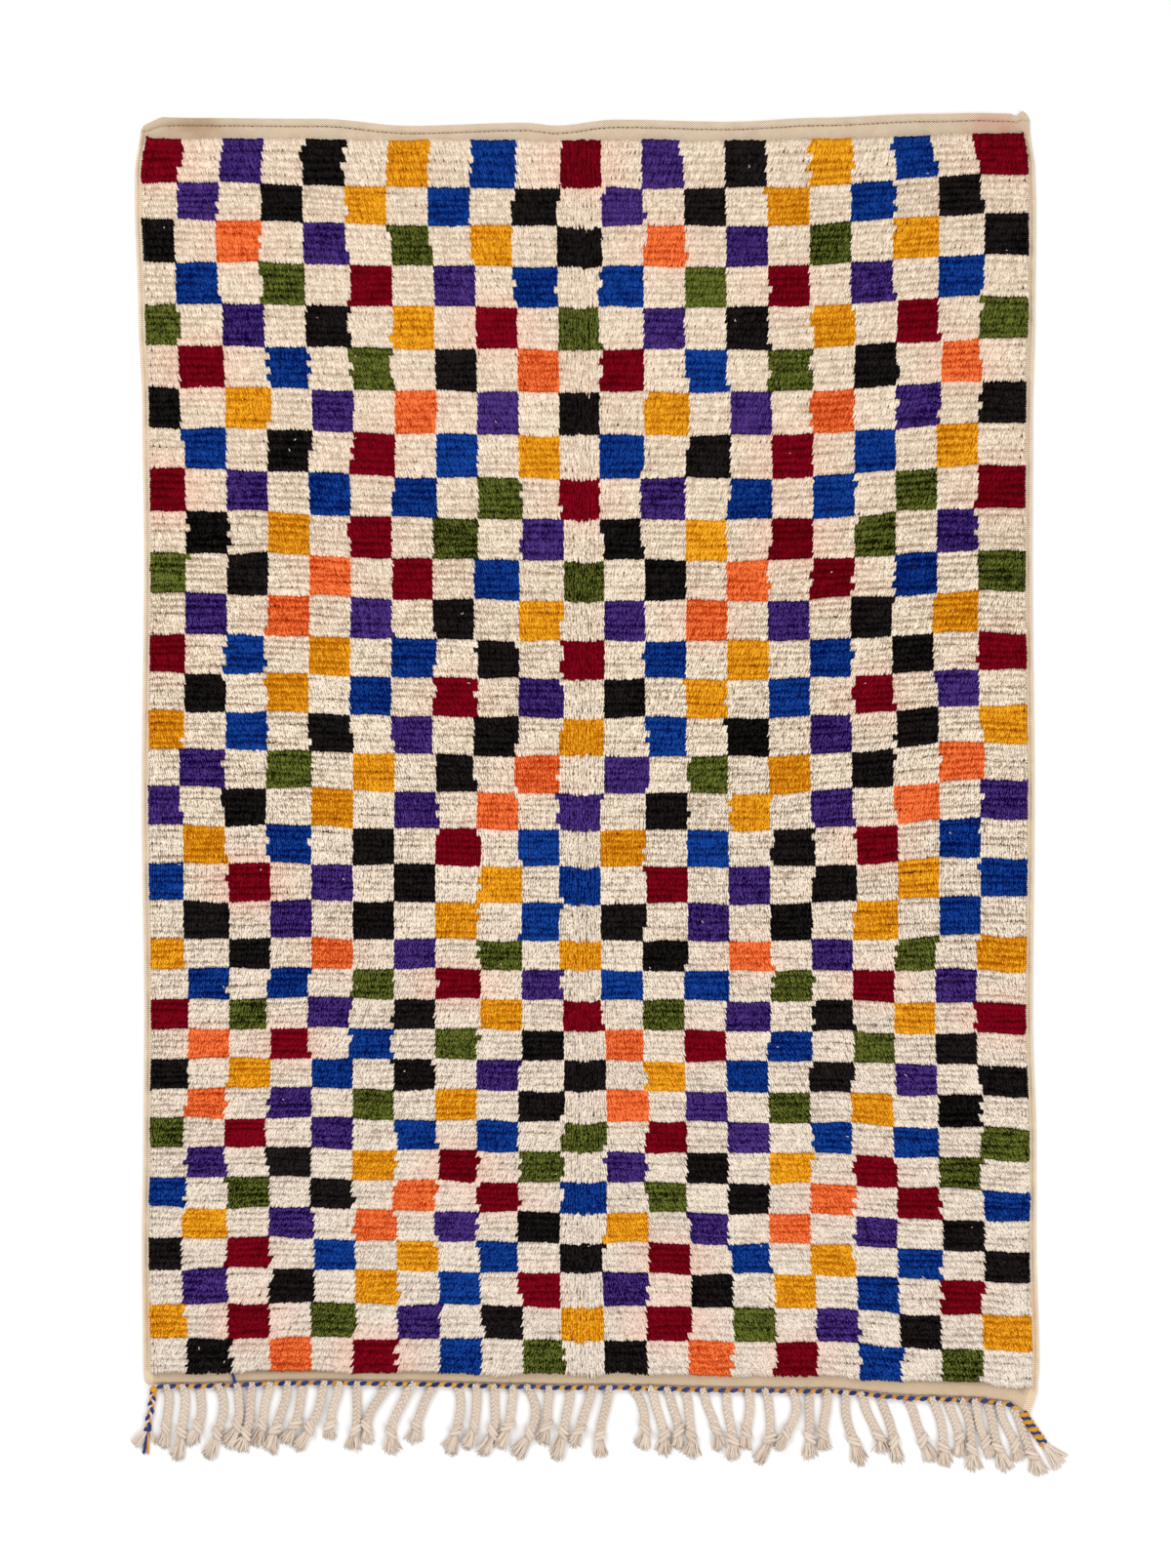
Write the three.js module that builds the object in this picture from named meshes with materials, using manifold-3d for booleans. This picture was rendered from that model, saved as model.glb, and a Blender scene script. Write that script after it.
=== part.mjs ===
// A hand-knotted wool rug, laid flat: a field of knotted pile between two flat-woven bands, a folded hem at
// one end, and at the other a twined cord over the roots of a plaited fringe.
// Millimetres. +X runs across the rug, +Y towards the hemmed end, +Z up. The origin is on the underside,
// in the middle of the woven piece.

import * as THREE from 'three';
import { mergeVertices } from 'three/addons/utils/BufferGeometryUtils.js';
import loadManifold from 'manifold-3d';

const wasm = await loadManifold();
wasm.setup();

// The woven piece
const WIDTH = 1000;
const LENGTH = 1420;
const GROUND_HEIGHT = 4;
const HEM_WIDTH = 8.5;
const HEM_HEIGHT = 5.5;
const HEM_CORNER = 12;
const FRINGE_CORNER = 3;
const SELVAGE_WIDTH = 10;
const SELVAGE_HEIGHT = 5;
const EDGE_STEP = 30;
const FRINGE_EDGE_STEP = 12;
const EDGE_ROUNDING = 0.6;

// The pile: each knot row rises to a ridge that leans towards the fringe
const PILE_HEIGHT = 16;
const PILE_TOP = 683;
const PILE_FOOT = -699;
const PILE_SAG = 0.5;
const PILE_OVERHANG = 1.5;
const RIDGE_DEPTH = 3;
const RIDGE_AT = 0.72;
const RIDGE_UNEVENNESS = 0.5;
const RIDGE_WANDER = 1.2;
const WANDER_ROWS = 3;
const FOLD_AT = -5;
const FOLD_WIDTH = 28;
const FOLD_DEPTH = 2;
const PILE_BENDS = { left: -250, right: 400 };

// How deep one solid is set into the next before they are joined, and how far apart separate pieces are
const EMBED = 2;
const GAP = 0.3;

// The fringe and its backing strip
const STRIP_WIDTH = 6;
const STRIP_HEIGHT = 1.8;
const STRIP_REACH = 480;
const PLAIT_REACH = 71;
const PLAIT_STAGGER = 5;
const REACH_WANDER = 2;
const REACH_UNEVENNESS = 3;
const STRAND_TAPER = 0.7;

// The cord: a square section that turns an eighth of a turn at each bead
const CORD_RADIUS = 2.7;
const CORD_BEAD = 6.7;
const CORD_ENDS = { left: -484, right: 484 };

// How far the hemmed edge rises and the fringed edge sags from straight, at places across the rug
const END_EDGES = [
  { at: -500, hem: -7, sag: 2 },
  { at: -463, hem: 0, sag: 1.5 },
  { at: -300, hem: -1, sag: -2.5 },
  { at: -200, hem: -9, sag: -1 },
  { at: -68, hem: -5.5, sag: 2 },
  { at: -36, hem: -9, sag: 3 },
  { at: 30, hem: -2, sag: 3 },
  { at: 160, hem: -4.5, sag: 6 },
  { at: 260, hem: 0, sag: 7 },
  { at: 380, hem: 4.5, sag: 16 },
  { at: 440, hem: 5.5, sag: 19 },
  { at: 500, hem: 4, sag: 31 },
];

// How far each side edge stands out from straight, at places along the rug
const SIDE_EDGES = [
  { at: -740, left: -3.5, right: 1 },
  { at: -550, left: 0.5, right: 1 },
  { at: -440, left: -1, right: 2.5 },
  { at: -300, left: -2, right: -1 },
  { at: -56, left: 1, right: 1.5 },
  { at: 217, left: -1.5, right: -2 },
  { at: 382, left: 0.5, right: -1 },
  { at: 491, left: 5, right: 1 },
  { at: 610, left: 9, right: 2 },
  { at: 650, left: 9, right: 1 },
  { at: 700, left: 0, right: -5 },
];

// Bands of checks from the hem down: how many, how tall, and how many knot rows each check has
const CHECK_BANDS = [
  { checks: 12, height: 46.6, knotRows: 6 },
  { checks: 8, height: 42.2, knotRows: 6 },
  { checks: 11, height: 34, knotRows: 5 },
  { checks: 3, height: 38.3, knotRows: 5 },
];

// A plait from its root to the end of its tuft
const PLAIT_FORM = [
  { at: 0, width: 9.5, height: STRIP_HEIGHT - GAP },
  { at: 0.05, width: 9.5, height: STRIP_HEIGHT - GAP },
  { at: 0.12, width: 10, height: 6.5 },
  { at: 0.28, width: 10, height: 6.5 },
  { at: 0.44, width: 10, height: 6.5 },
  { at: 0.6, width: 9.5, height: 6.5 },
  { at: 0.65, width: 13, height: 10 },
  { at: 0.75, width: 13, height: 9.5 },
  { at: 0.79, width: 8.5, height: 6.5 },
  { at: 1, width: 13.5, height: 3.5 },
];

// Groups of plaits that lie the same way, from the left: where the first and last plait have their root and
// tip across the rug, and how far each plait bows to the right
const PLAIT_GROUPS = [
  { plaits: 3, roots: [-473, -436], tips: [-479, -446], bow: 6 },
  { plaits: 2, roots: [-414, -394], tips: [-426, -407], bow: 10 },
  { plaits: 3, roots: [-377, -337], tips: [-390, -357], bow: 2 },
  { plaits: 2, roots: [-319, -296], tips: [-340, -325], bow: 4 },
  { plaits: 2, roots: [-279, -259], tips: [-293, -263], bow: 0 },
  { plaits: 3, roots: [-223, -170], tips: [-247, -192], bow: -10 },
  { plaits: 4, roots: [-147, -85], tips: [-155, -101], bow: 8 },
  { plaits: 1, roots: [-68, -68], tips: [-77, -77], bow: 14 },
  { plaits: 3, roots: [-44, 4], tips: [-54, -20], bow: 5 },
  { plaits: 1, roots: [24, 24], tips: [13, 13], bow: -2 },
  { plaits: 1, roots: [48, 48], tips: [58, 58], bow: 14 },
  { plaits: 3, roots: [70, 108], tips: [84, 114], bow: 6 },
  { plaits: 3, roots: [129, 180], tips: [147, 177], bow: 2 },
  { plaits: 2, roots: [199, 230], tips: [192, 211], bow: 12 },
  { plaits: 2, roots: [250, 270], tips: [252, 267], bow: -4 },
  { plaits: 1, roots: [289, 289], tips: [305, 305], bow: -4 },
  { plaits: 2, roots: [307, 328], tips: [333, 351], bow: 0 },
  { plaits: 1, roots: [358, 358], tips: [386, 386], bow: 0 },
  { plaits: 3, roots: [387, 420], tips: [403, 435], bow: 3 },
  { plaits: 3, roots: [434, 461], tips: [452, 485], bow: 0 },
  { plaits: 1, roots: [476.5, 476.5], tips: [507, 507], bow: 2 },
];

// The cord's two tails, from the corner outward, and the loose ends beyond them
const LEFT_TAIL = [
  { x: -487.6, y: -715, width: 6.6, height: 7.4 },
  { x: -489, y: -727, width: 9, height: 7 },
  { x: -491, y: -740, width: 8, height: 6 },
  { x: -494, y: -757, width: 8, height: 6 },
  { x: -495.5, y: -768, width: 7, height: 5.5 },
];
const LEFT_LOCKS = [
  { x: -500, y: -793, width: 3 },
  { x: -494.5, y: -794, width: 3 },
  { x: -508, y: -786, width: 7 },
];
const RIGHT_TAIL = [
  { x: 486.9, y: -743.5, width: 6, height: 7.4 },
  { x: 494, y: -755, width: 9, height: 8 },
  { x: 502, y: -766, width: 10, height: 8 },
  { x: 512, y: -780, width: 8, height: 7 },
];
const RIGHT_LOCKS = [
  { x: 525, y: -810, width: 5 },
  { x: 530.5, y: -807, width: 5 },
  { x: 535, y: -801, width: 5 },
  { x: 539, y: -794, width: 5 },
];
const LOCK_ROOT = { at: 0.7, width: 4.5, height: 5 };
const LOCK_END_HEIGHT = 2.5;

const COLOURS = {
  wool: 0xdcc5b2,
  cotton: 0xd9c6b3,
  navy: 0x3b4175,
  mustard: 0xd39a3c,
};

// A repeatable unevenness between -1 and 1
function unevenness(index, kind) {
  const raw = Math.sin(index * 12.9898 + kind * 78.233) * 43758.5453;
  return 2 * (raw - Math.floor(raw)) - 1;
}

// The smooth value of a table's column between the rows on either side of a place
function between(table, place, column) {
  const next = table.findIndex((row) => row.at >= place);
  if (next === -1) return table.at(-1)[column];
  if (next === 0) return table[0][column];
  const low = table[next - 1];
  const high = table[next];
  const share = THREE.MathUtils.smoothstep(place, low.at, high.at);
  return THREE.MathUtils.lerp(low[column], high[column], share);
}

const hemEdge = (x) => LENGTH / 2 + between(END_EDGES, x, 'hem');
const fringeEdge = (x) => -LENGTH / 2 - between(END_EDGES, x, 'sag');
const leftEdge = (y) => -WIDTH / 2 - between(SIDE_EDGES, y, 'left');
const rightEdge = (y) => WIDTH / 2 + between(SIDE_EDGES, y, 'right');

// Evenly spaced places from one value to another, both included
function places(from, to, step) {
  const count = Math.max(1, Math.round(Math.abs(to - from) / step));
  return Array.from({ length: count + 1 }, (_, index) => from + ((to - from) * index) / count);
}

// The places across the rug where its fringed edge bends, shared by all that lies along it
const FRINGE_PLACES = [
  -WIDTH / 2 + FRINGE_CORNER,
  ...places(-STRIP_REACH, STRIP_REACH, FRINGE_EDGE_STEP),
  WIDTH / 2 - FRINGE_CORNER,
];

// A closed solid through matching rings of points
function loft(rings) {
  const sides = rings[0].length;
  const last = (rings.length - 1) * sides;
  const triangles = [];
  for (let ring = 0; ring < last; ring += sides) {
    for (let side = 0; side < sides; side += 1) {
      const here = ring + side;
      const next = ring + ((side + 1) % sides);
      triangles.push(here, next, next + sides, here, next + sides, here + sides);
    }
  }
  for (let side = 1; side < sides - 1; side += 1) {
    triangles.push(0, side + 1, side);
    triangles.push(last, last + side, last + side + 1);
  }
  const geometry = new THREE.BufferGeometry().setFromPoints(rings.flat());
  geometry.setIndex(triangles);
  return geometry;
}

// A flat slab with the outline of the given points, between two heights
function slab(points, low, high) {
  const geometry = new THREE.ExtrudeGeometry(new THREE.Shape(points), {
    depth: high - low,
    bevelEnabled: false,
  });
  return geometry.translate(0, 0, low);
}

// A slab between two edge lines
const strip = (outer, inner, low, high) => slab([...outer, ...inner.reverse()], low, high);

// A solid for joining, from a closed geometry
function solid(geometry) {
  geometry.deleteAttribute('normal');
  geometry.deleteAttribute('uv');
  const merged = mergeVertices(geometry);
  const mesh = new wasm.Mesh({
    numProp: 3,
    vertProperties: new Float32Array(merged.attributes.position.array),
    triVerts: new Uint32Array(merged.index.array),
  });
  return new wasm.Manifold(mesh);
}

// All the given closed geometries joined into one
function joined(geometries) {
  const whole = geometries.map(solid).reduce((sum, next) => sum.add(next));
  const mesh = whole.getMesh();
  const geometry = new THREE.BufferGeometry();
  geometry.setAttribute('position', new THREE.BufferAttribute(mesh.vertProperties, 3));
  geometry.setIndex(new THREE.BufferAttribute(mesh.triVerts, 1));
  return geometry;
}

// The flat weave, out to its wandering edges
function groundSlab() {
  const half = WIDTH / 2;
  const cornerY = LENGTH / 2 - HEM_CORNER;
  const hem = places(-half + HEM_CORNER, half - HEM_CORNER, EDGE_STEP);
  const right = places(cornerY, fringeEdge(half) + FRINGE_CORNER, EDGE_STEP);
  const fringe = FRINGE_PLACES.toReversed();
  const left = places(fringeEdge(-half) + FRINGE_CORNER, cornerY, EDGE_STEP);
  const outline = [
    ...hem.map((x) => new THREE.Vector2(x, hemEdge(x))),
    ...right.map((y) => new THREE.Vector2(rightEdge(y), y)),
    ...fringe.map((x) => new THREE.Vector2(x, fringeEdge(x))),
    ...left.map((y) => new THREE.Vector2(leftEdge(y), y)),
  ];
  return slab(outline, 0, GROUND_HEIGHT);
}

// The folded hem, a little thicker than the weave
function hemSlab() {
  const half = WIDTH / 2 - HEM_CORNER;
  const across = places(-half, half, EDGE_STEP);
  const line = (inset) => across.map((x) => new THREE.Vector2(x, hemEdge(x) - inset));
  return strip(line(EDGE_ROUNDING), line(HEM_WIDTH), EMBED, HEM_HEIGHT);
}

// One overcast side edge; inward is the direction from that edge to the middle
function selvageSlab(edge, inward, fringeEnd) {
  const along = places(fringeEnd + FRINGE_CORNER, LENGTH / 2 - HEM_CORNER, EDGE_STEP);
  const line = (inset) => along.map((y) => new THREE.Vector2(edge(y) + inward * inset, y));
  return strip(line(EDGE_ROUNDING), line(SELVAGE_WIDTH), EMBED, SELVAGE_HEIGHT);
}

// Where each knot row ends, as shares of the pile's length from the hem down
function knotRowEnds() {
  const total = CHECK_BANDS.reduce((sum, band) => sum + band.checks * band.height, 0);
  const ends = [0];
  for (const { checks, height, knotRows } of CHECK_BANDS) {
    for (let row = 0; row < checks * knotRows; row += 1) {
      ends.push(ends.at(-1) + height / knotRows / total);
    }
  }
  return ends;
}

// One line across the pile: its points over the weave, closed by two points sunk into the weave
function pileRing(share, height, row) {
  const foot = (x) => PILE_FOOT - PILE_SAG * between(END_EDGES, x, 'sag');
  const rowY = (x) => THREE.MathUtils.lerp(PILE_TOP, foot(x), share);
  const columns = [
    leftEdge(rowY(-WIDTH / 2)) + SELVAGE_WIDTH - PILE_OVERHANG,
    PILE_BENDS.left,
    FOLD_AT - FOLD_WIDTH / 2,
    FOLD_AT,
    FOLD_AT + FOLD_WIDTH / 2,
    PILE_BENDS.right,
    rightEdge(rowY(WIDTH / 2)) - SELVAGE_WIDTH + PILE_OVERHANG,
  ];
  const raised = height > GROUND_HEIGHT;
  const top = columns.map((x, column) => {
    const fold = x === FOLD_AT ? FOLD_DEPTH : 0;
    const lift = raised ? RIDGE_UNEVENNESS * (unevenness(row, column) - 1) - fold : 0;
    const wander = unevenness(Math.floor(row / WANDER_ROWS), column + columns.length);
    const shift = raised ? RIDGE_WANDER * wander : 0;
    return new THREE.Vector3(x, rowY(x) + shift, height + lift);
  });
  const floor = GROUND_HEIGHT - EMBED;
  const sunk = [top[0], top.at(-1)].map((point) => point.clone().setZ(floor));
  return [...sunk, ...top.reverse()];
}

// The pile's ridges, one trough and one crest for each knot row
function pileLoft() {
  const ends = knotRowEnds();
  const sunkTop = GROUND_HEIGHT - EMBED / 2;
  const rings = [pileRing(0, sunkTop, 0)];
  for (let row = 0; row < ends.length - 1; row += 1) {
    const crest = THREE.MathUtils.lerp(ends[row], ends[row + 1], RIDGE_AT);
    if (row > 0) rings.push(pileRing(ends[row], PILE_HEIGHT - RIDGE_DEPTH, row));
    rings.push(pileRing(crest, PILE_HEIGHT, row));
  }
  rings.push(pileRing(1, sunkTop, 0));
  return loft(rings);
}

// A strand's cross-section, flat on the floor, across the direction that it runs in
function strandRing(place, direction, width, height) {
  const side = new THREE.Vector3(-direction.y, direction.x, 0).normalize();
  const corner = (reach, z) => place.clone().addScaledVector(side, reach).setZ(z);
  const wide = width / 2;
  const narrow = wide * STRAND_TAPER;
  return [corner(-wide, 0), corner(wide, 0), corner(narrow, height), corner(-narrow, height)];
}

// The strip that lies under the cord, along the fringed edge
function backingStrip() {
  const across = FRINGE_PLACES.slice(1, -1);
  const line = (out) => across.map((x) => new THREE.Vector2(x, fringeEdge(x) - out));
  return strip(line(GAP), line(GAP + STRIP_WIDTH), 0, STRIP_HEIGHT);
}

// One plait, bowed between its root and where its tuft ends
function plait(rootX, tipX, reach, bow) {
  const rootY = fringeEdge(rootX) - GAP - STRIP_WIDTH / 2;
  const route = new THREE.QuadraticBezierCurve3(
    new THREE.Vector3(rootX, rootY, 0),
    new THREE.Vector3((rootX + tipX) / 2 + bow, rootY - reach / 2, 0),
    new THREE.Vector3(tipX, rootY - reach, 0),
  );
  const rings = PLAIT_FORM.map(({ at, width, height }) =>
    strandRing(route.getPoint(at), route.getTangent(at), width, height),
  );
  return loft(rings);
}

function fringeGeometry() {
  const pieces = [backingStrip()];
  let index = 0;
  for (const { plaits, roots, tips, bow } of PLAIT_GROUPS) {
    for (let place = 0; place < plaits; place += 1, index += 1) {
      const share = place / Math.max(plaits - 1, 1);
      const root = THREE.MathUtils.lerp(...roots, share);
      const tip = THREE.MathUtils.lerp(...tips, share);
      const stagger = PLAIT_STAGGER * (index % 2 ? 1 : -1);
      const wander = REACH_WANDER * unevenness(index, REACH_UNEVENNESS);
      pieces.push(plait(root, tip, PLAIT_REACH + stagger + wander, bow));
    }
  }
  return joined(pieces);
}

// The cord over the plaits' roots, turning as it goes
function cordGeometry() {
  const height = STRIP_HEIGHT + GAP + CORD_RADIUS;
  const rings = places(CORD_ENDS.left, CORD_ENDS.right, CORD_BEAD).map((x, bead) => {
    const middle = new THREE.Vector3(x, fringeEdge(x) - GAP - STRIP_WIDTH / 2, height);
    return [0, 1, 2, 3].map((corner) => {
      const angle = (corner * Math.PI) / 2 + (bead * Math.PI) / 4;
      const spoke = new THREE.Vector3(0, Math.cos(angle), Math.sin(angle));
      return spoke.multiplyScalar(CORD_RADIUS).add(middle);
    });
  });
  return loft(rings);
}

// A tail of the cord lying on the floor, with loose locks from its end
function tailGeometry(stations, locks) {
  const route = stations.map(({ x, y }) => new THREE.Vector3(x, y, 0));
  const body = stations.map(({ width, height }, index) => {
    const before = route[Math.max(index - 1, 0)];
    const after = route[Math.min(index + 1, route.length - 1)];
    return strandRing(route[index], after.clone().sub(before), width, height);
  });
  const start = route.at(-2).clone().lerp(route.at(-1), LOCK_ROOT.at);
  const ends = locks.map(({ x, y, width }) => {
    const end = new THREE.Vector3(x, y, 0);
    const direction = end.clone().sub(start);
    return loft([
      strandRing(start, direction, LOCK_ROOT.width, LOCK_ROOT.height),
      strandRing(end, direction, width, LOCK_END_HEIGHT),
    ]);
  });
  return joined([loft(body), ...ends]);
}

function mesh(name, geometry, colour) {
  const material = new THREE.MeshStandardMaterial({ color: colour, roughness: 0.95, metalness: 0 });
  const piece = new THREE.Mesh(geometry, material);
  piece.name = name;
  return piece;
}

const body = joined([
  groundSlab(),
  hemSlab(),
  selvageSlab(leftEdge, 1, fringeEdge(-WIDTH / 2)),
  selvageSlab(rightEdge, -1, fringeEdge(WIDTH / 2)),
  pileLoft(),
]);

const rug = new THREE.Group();
rug.add(
  mesh('rug_body', body, COLOURS.wool),
  mesh('fringe', fringeGeometry(), COLOURS.cotton),
  mesh('twined_cord', cordGeometry(), COLOURS.navy),
  mesh('left_tail', tailGeometry(LEFT_TAIL, LEFT_LOCKS), COLOURS.navy),
  mesh('right_tail', tailGeometry(RIGHT_TAIL, RIGHT_LOCKS), COLOURS.mustard),
);

export default rug;
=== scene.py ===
"""A knotted wool rug laid flat: its woven ground, the yarn ends of the pile, the plaits and the cord."""

import bpy
import numpy as np
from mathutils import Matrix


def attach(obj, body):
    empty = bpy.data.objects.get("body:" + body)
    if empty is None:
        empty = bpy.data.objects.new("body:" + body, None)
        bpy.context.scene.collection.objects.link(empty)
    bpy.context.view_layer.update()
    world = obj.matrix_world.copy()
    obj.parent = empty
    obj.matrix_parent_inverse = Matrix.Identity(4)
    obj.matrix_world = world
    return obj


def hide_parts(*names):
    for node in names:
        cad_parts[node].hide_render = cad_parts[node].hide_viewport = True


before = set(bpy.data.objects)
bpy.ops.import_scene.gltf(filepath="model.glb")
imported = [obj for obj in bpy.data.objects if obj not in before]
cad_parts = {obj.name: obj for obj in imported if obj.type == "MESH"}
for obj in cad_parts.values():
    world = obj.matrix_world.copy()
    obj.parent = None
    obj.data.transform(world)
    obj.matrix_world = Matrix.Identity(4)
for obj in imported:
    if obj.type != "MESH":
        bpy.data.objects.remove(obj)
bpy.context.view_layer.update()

# Lengths below are in millimetres, as in the CAD, and meshes are made in metres.
MM = 0.001

# The woven ground.
WIDTH = 1000
LENGTH = 1420
GROUND_HEIGHT = 4
SELVAGE_WIDTH = 10
SELVAGE_HEIGHT = 5
SELVAGE_GROOVE = 3.6
HEM_WIDTH = 8.5
HEM_HEIGHT = 5.5
HEM_CORNER = 9
FRINGE_CORNER = 4
EDGE_HEIGHT = 2.2

# How large the flat underside is, as shares of the top.
UNDERSIDE_SHARES = np.array([0.9985, 0.999, 0])

# Lines of corners in the ground: how far from a side, the hem and the foot, and how many lie between these.
SIDE_LINES = np.array([0, 0.4, 1.2, 2.5, 3.8, 4.6, 5, 5.4, 6.2, 7.5, 8.8, 9.6, 10.2, 12, 14, 17, 20, 24])
HEM_LINES = np.array([0, 0.4, 1.2, 2.6, 4.3, 6, 7.4, 8.2, 8.6, 8.9, 9.3, 10, 11.5, 14, 18, 24, 30])
FOOT_LINES = np.array([0, 0.5, 1.2, 2.5, 6, 12])
LINES_ACROSS = 64
LINES_ALONG = 108

# How far the hemmed and the fringed end stray from a straight line, at places across the rug.
END_PLACES = np.array([-500, -463, -300, -200, -68, -36, 30, 160, 260, 380, 440, 470, 500])
HEM_STRAYS = np.array([-7, 0, -1, -9, -5.5, -9, -2, -4.5, 0, 4.5, 5.5, 4.7, 4])
FRINGE_STRAYS = np.array([2, 1.5, -2.5, -1, 2, 3, 3, 6, 7, 15.5, 17.5, 21.5, 37])

# Where the hem peaks or dips at its corners, how high and how wide.
HEM_PEAKS = [(-480, 3.5, 11), (489.5, 3.5, 6), (481, -3, 3.5)]

# How far the sides stray outwards, at places along the rug.
SIDE_PLACES = np.array([-748, -720, -690, -550, -440, -300, -56, 217, 382, 491, 610, 650, 700])
LEFT_STRAYS = np.array([-3.5, -2.3, -1, 0.5, -1, -2, 1, -1.5, 0.5, 5, 9, 9, 2])
RIGHT_STRAYS = np.array([-3.5, 5, 7, 3.5, 3.5, -0.5, 1.5, -1, -0.5, 2, 3, 2, -4])

# The pile. Its lower edge takes up part of the fringed edge's stray, but less in the right corner.
PILE_TOP = 683
PILE_FOOT = -699
PILE_SAG = 0.5
CORNER_STRAY = 22
PILE_BORDER = 8.5

# The checks: bands of rows of checks, with the height of a check and its rows of knots.
CHECK_BANDS = [(12, 46.6, 6), (8, 42.2, 6), (11, 34, 5), (3, 38.3, 5)]
CHECKS_ACROSS = 21
CHECK_WIDTH = 46.9
FIRST_CHECK_EDGE = -452.8

# The knots, what share of a row they sit above its line, and how many rows and knots far dye runs.
KNOTS_ACROSS = 212
KNOT_HEIGHT = 9.6
KNOT_UP = 0.28
DYE_ROWS = 3
DYE_KNOTS = 9

# The yarn ends, two for each knot. They reach over more than one row, and less where their row lies open.
YARN_HEIGHT = 14.2
YARN_REACH = 1.3
YARN_ASIDE = 1.16
YARN_HALF_WIDTH = 1.6
YARN_RISE = 1.5
TIP_DROP = 2.6
OPEN_LESS = 0.33
OPEN_BACK = 1.1
FIBRE_WIDTH = 1.1
FIBRE_LENGTH = 3.3
GLINT = 1.4

# At a yarn end's root, bend and tip: shares of its width and rise, and its painted shade and light, darkest
# at the root and more so where its row lies open. Then the painted shade on its two edges, between yarn
# ends, and the painted highlight on its ridge.
PATH = ("root", "bend", "tip")
WIDTH_SHARES = np.array([1.5, 1.1, 0.65])
RISE_SHARES = np.array([1.0, 1.0, 0.7])
SHADE_ALONG = np.array([-0.4, 0.15, 0.05])
SHADE_OPENED = np.array([-0.6, 0.05, -0.6])
SHADE_ACROSS = np.array([-0.65, 0.32, -0.65])

# Yarn ends that stand along the sides: how far outwards, up the rug and above the floor each point is.
SIDE_ASIDE = 2.4
SIDE_PATH = {"root": (0, 1.0, 3.2), "bend": (0.8, 0, 8.5), "tip": (-2.4, -1.2, 13.4)}
SIDE_STEPS = 3

# The rug was folded down the middle, and the pile is ragged there.
FOLD_AT = -5
FOLD_WIDTH = 15

# The cream pile is cut into three pieces at these rows of knots.
CREAM_CUTS = [63, 126]

# How far rows of checks lie above evenly spaced straight rows, at shares of the pile's length.
ROW_SHARES = np.array([0, 0.034, 0.067, 0.13, 0.2, 0.27, 0.34, 0.4, 0.5, 0.62, 0.7, 0.86, 1])
LEFT_ROW_STRAYS = np.array([2, -2, 3, 1, 1, 2, 1, 2, 0, -2, -2, 2, -2])
MIDDLE_ROW_STRAYS = np.array([0, -8, -4, -2, -4, -8, -7, -4, -7, -4, -2, -3, -2])
RIGHT_ROW_STRAYS = np.array([7, 7, 10, 11, 9, 8, 6, 8, 12, 9, -1, -6, -6])

# The plaits of the fringe, in groups that lie the same way: how many, where the first and last root and tip
# are across the rug, and how far each plait bows to the right. Places along a plait are shares of its reach.
PLAIT_REACH = 71
PLAIT_STAGGER = 5
REACH_WANDER = 2
PLAIT_TURN = 14
PLAIT_BEND = 1.7
PLAIT_SWAY = 1.5
PLAIT_START = -0.042
PLAITS_OVER_CORD = 0.7
STRAND_RADIUS = 1.3
STRAND_SWELL = 0.75
KNOT_AT = 0.7
KNOT_LEVEL = 5.0
KNOT_HALF_WIDTH = 5.0
KNOT_HALF_RISE = 2.5
KNOT_HALF_STEP = 2.3
KNOT_STRAND = 2.35
KNOT_CORE = 4.6
KNOT_CORE_HALF_LENGTH = 8
TUFT_ENDS = 22
TUFT_RADII = np.array([1.2, 1.2, 1.1, 1.05, 0.95, 0.7])
PLAIT_GROUPS = [
    (3, (-473, -436), (-479, -446), 6),
    (2, (-414, -394), (-426, -407), 10),
    (3, (-377, -337), (-390, -357), 2),
    (2, (-319, -296), (-340, -325), 4),
    (2, (-279, -259), (-293, -263), 0),
    (3, (-223, -170), (-247, -192), -10),
    (4, (-147, -85), (-155, -101), 8),
    (1, (-68, -68), (-77, -77), 14),
    (3, (-44, 4), (-54, -20), 5),
    (1, (24, 24), (13, 13), -2),
    (1, (48, 48), (58, 58), 14),
    (3, (70, 108), (84, 114), 6),
    (3, (129, 180), (147, 177), 2),
    (2, (199, 230), (192, 211), 12),
    (2, (250, 270), (252, 267), -4),
    (1, (289, 289), (305, 305), -4),
    (2, (307, 328), (333, 351), 0),
    (1, (358, 358), (386, 386), 0),
    (3, (387, 420), (403, 435), 3),
    (3, (434, 461), (452, 485), 0),
    (1, (476.5, 476.5), (507, 507), 2),
]
PLAITS = sum(group[0] for group in PLAIT_GROUPS)

# The cord along the fringed edge, its two strands, and a loose navy end that lies on the weave.
CORD_GAP = 3.3
CORD_LEVEL = 4.3
CORD_END = 484
CORD_TURN = 13.4
CORD_NAVY = 1.85
CORD_MUSTARD = 1.45
LOOSE_NAVY = [(-395.8, -713, 6), (-397, -707, 7.5), (-399.5, -698.5, 6.5)]

# The cord's tails: the line of each, and where their loose ends lie.
TAIL_LEVEL = 3.2
LEFT_TAIL = [(-487.6, -715), (-489, -727), (-491, -740), (-494, -757), (-495.5, -768)]
LEFT_NAVY = [(-494, -765, 3), (-496.5, -777, 2.5), (-499.5, -792, 2)]
LEFT_MUSTARD = [(-494.5, -765, 3.4), (-494.4, -778, 2.6), (-494.5, -792, 1.6)]
WRAP_LEVEL = 5.1
WRAP_TURNS = 4.2
RIGHT_TAIL = [(488.5, -744.5), (495.5, -756), (503.5, -767.5), (512.5, -780)]
RIGHT_FAN = [(525, -810), (530.5, -807), (535, -801), (539, -794)]

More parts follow.
